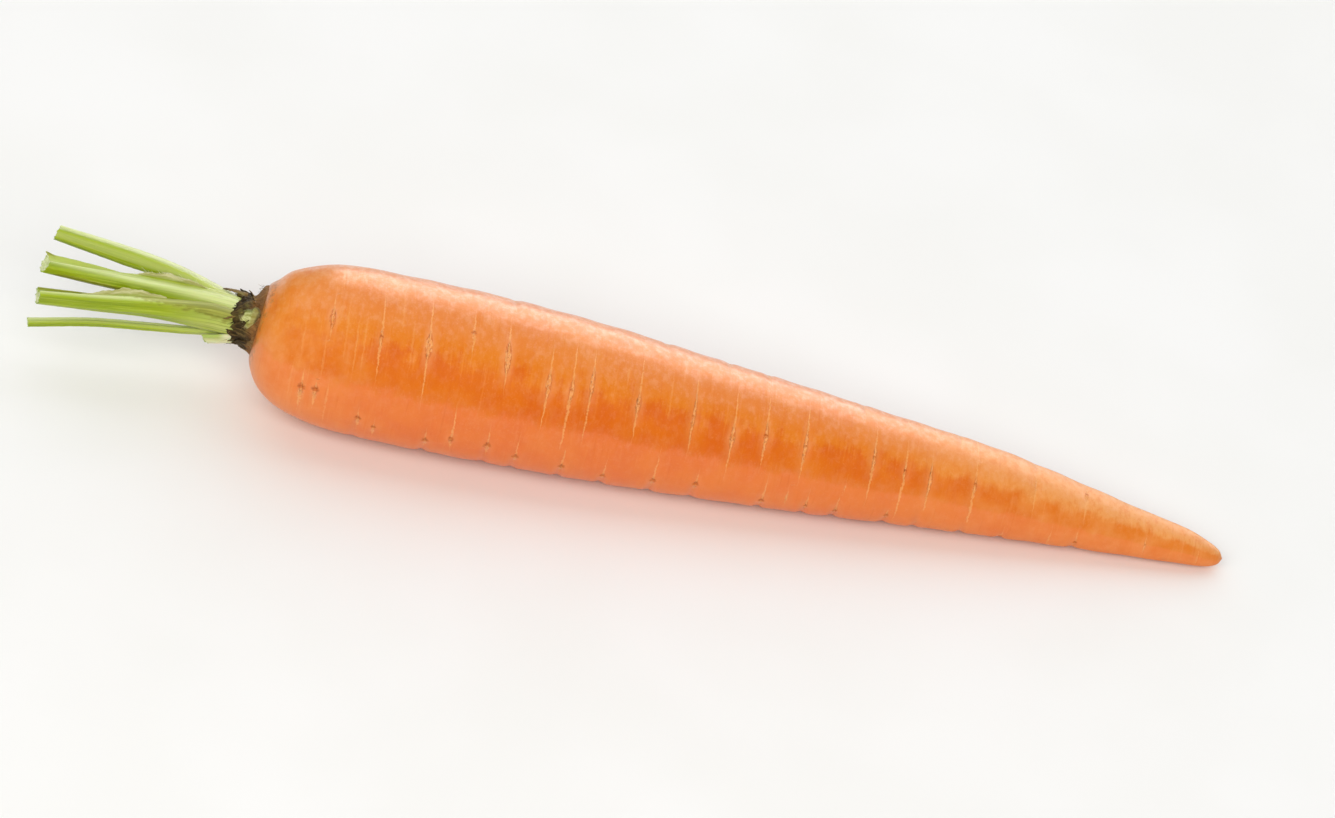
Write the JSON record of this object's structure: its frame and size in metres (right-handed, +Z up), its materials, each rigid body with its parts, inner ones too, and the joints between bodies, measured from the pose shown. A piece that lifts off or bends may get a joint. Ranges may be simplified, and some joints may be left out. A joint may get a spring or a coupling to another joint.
{
  "type": "carrot",
  "caption": "Fresh whole carrot lying on its side: a tapering orange root with a dark collar and short trimmed green leaf stalks.",
  "frame": {"origin": "on the surface it lies on, under the middle of the carrot's bounding box", "axes": "+X along the root to its tip, +Z up, the leaf stalks point to -X"},
  "size_m": [0.2326, 0.0322, 0.0317],
  "materials": {
    "root_skin": "smooth fresh carrot skin, satin",
    "dry_husk": "dry fibrous brown leaf bases, matt",
    "stalk_green": "fresh green leaf stalk, satin",
    "pale_sheath": "pale torn leaf sheath, satin"
  },
  "bodies": {
    "root": {"root": "root_skin", "crown": "dry_husk", "stalk_1": "stalk_green", "stalk_2": "stalk_green", "stalk_3": "stalk_green", "stalk_4": "stalk_green", "stalk_5": "stalk_green", "sheath_stub": "pale_sheath"}
  },
  "joints": []
}
